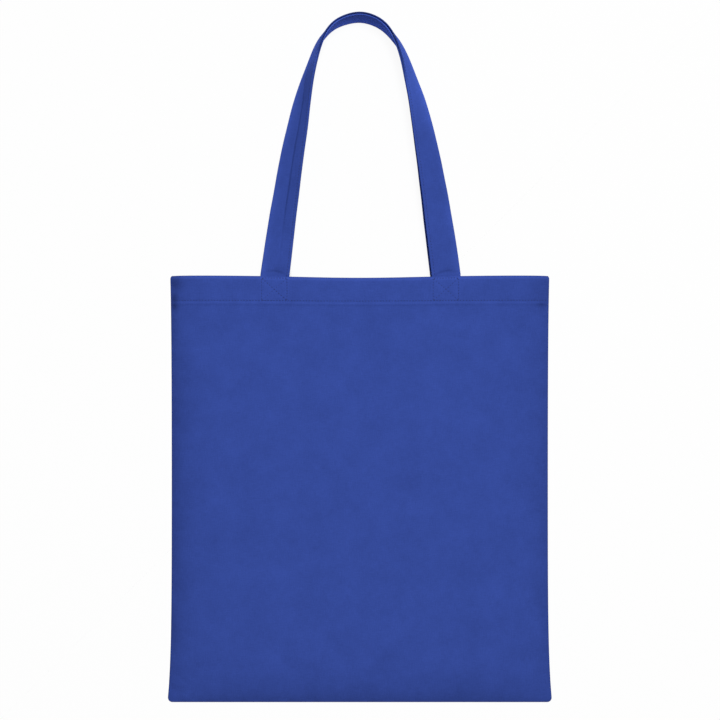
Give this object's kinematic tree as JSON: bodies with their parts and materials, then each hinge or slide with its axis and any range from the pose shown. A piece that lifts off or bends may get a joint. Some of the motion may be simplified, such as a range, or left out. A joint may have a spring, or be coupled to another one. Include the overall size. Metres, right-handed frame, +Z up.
{
  "type": "cotton tote bag",
  "caption": "Flat unlined cotton tote bag with a wide hemmed mouth and long folded-strip handles sewn inside the hem, lying on its back.",
  "frame": {"origin": "on the floor under the middle of the whole bag, handles included", "axes": "+X across the bag, +Y from the bottom seam towards the handles, +Z up out of the front panel"},
  "size_m": [0.3784, 0.6746, 0.028],
  "materials": {
    "cotton": "plain-woven cotton dyed mid blue, matt"
  },
  "bodies": {
    "root": {"front_panel": "cotton", "back_panel": "cotton", "front_handle": "cotton", "back_handle": "cotton"}
  },
  "joints": []
}
